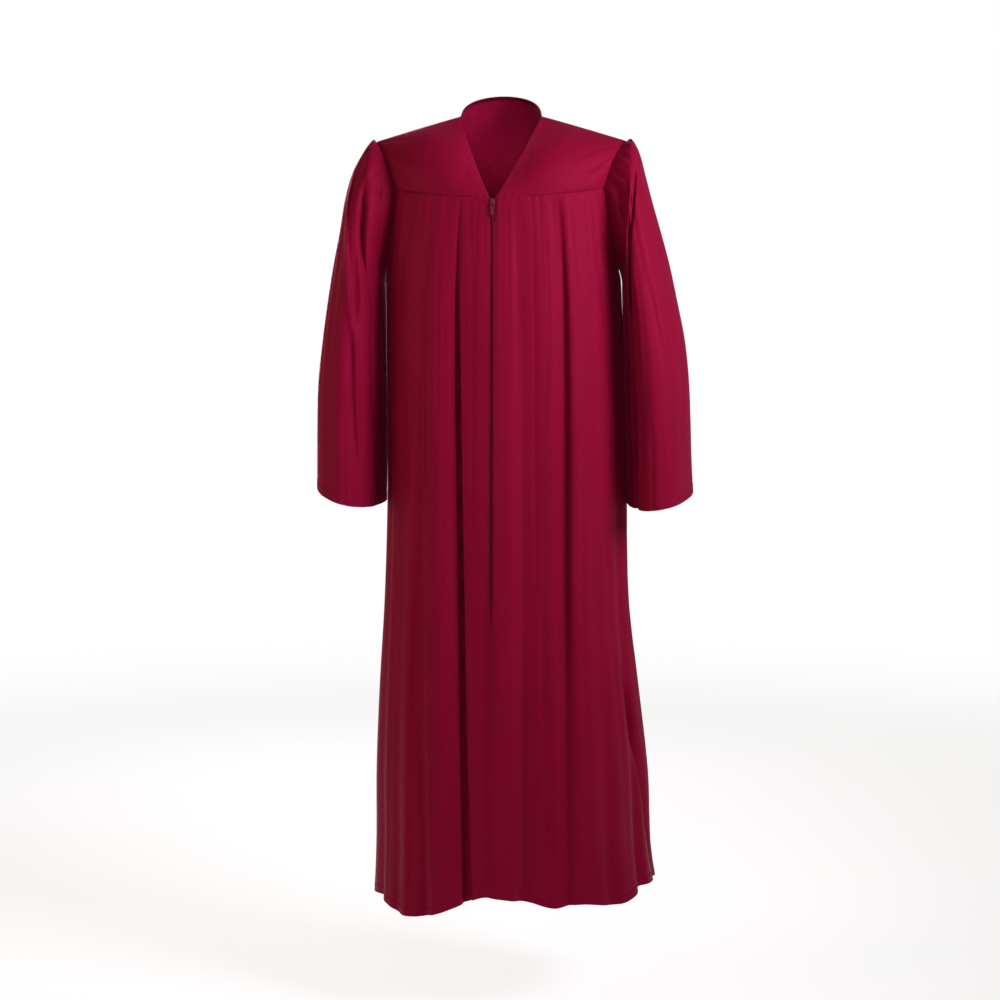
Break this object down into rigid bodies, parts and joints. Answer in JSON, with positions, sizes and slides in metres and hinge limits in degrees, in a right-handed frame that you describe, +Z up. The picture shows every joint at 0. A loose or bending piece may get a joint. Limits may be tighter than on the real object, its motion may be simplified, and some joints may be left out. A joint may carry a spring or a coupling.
{
  "type": "graduation gown",
  "caption": "Dark red graduation gown with a closed front zip, V neck, shoulder yoke, fluted body and long open sleeves, filled out as worn.",
  "frame": {"origin": "midway between the neck points of the two shoulder seams, where the wearer's shoulders hold the gown up", "axes": "+Z up, the front faces -Y, and +X is the wearer's left"},
  "size_m": [0.6165, 0.3388, 1.3271],
  "materials": {
    "gown_cloth": "satin-matt woven polyester",
    "inside_cloth": "wrong side of the woven polyester",
    "zip_tape": "matt woven tape",
    "zip_metal": "satin paint on metal"
  },
  "bodies": {
    "gown": {"front_panel_right": "gown_cloth", "front_panel_left": "gown_cloth", "back_panel": "gown_cloth", "front_yoke_right": "gown_cloth", "front_yoke_left": "gown_cloth", "back_yoke": "gown_cloth", "sleeve_right": "gown_cloth", "sleeve_left": "gown_cloth", "neck_band_right": "inside_cloth", "neck_band_left": "inside_cloth", "neck_band_back": "inside_cloth", "zip_tape_right": "zip_tape", "zip_tape_left": "zip_tape", "zip_slider": "zip_metal", "zip_bottom_stop": "zip_metal"},
    "pull_tab": {"zip_pull_tab": "zip_metal"}
  },
  "joints": [
    {"name": "pull_tab_hinge", "type": "hinge", "parent": "gown", "child": "pull_tab", "pos_m": [-0.005, -0.12483, -0.13884], "axis": [-1, 0, 0], "range_deg": [0, 160]}
  ]
}
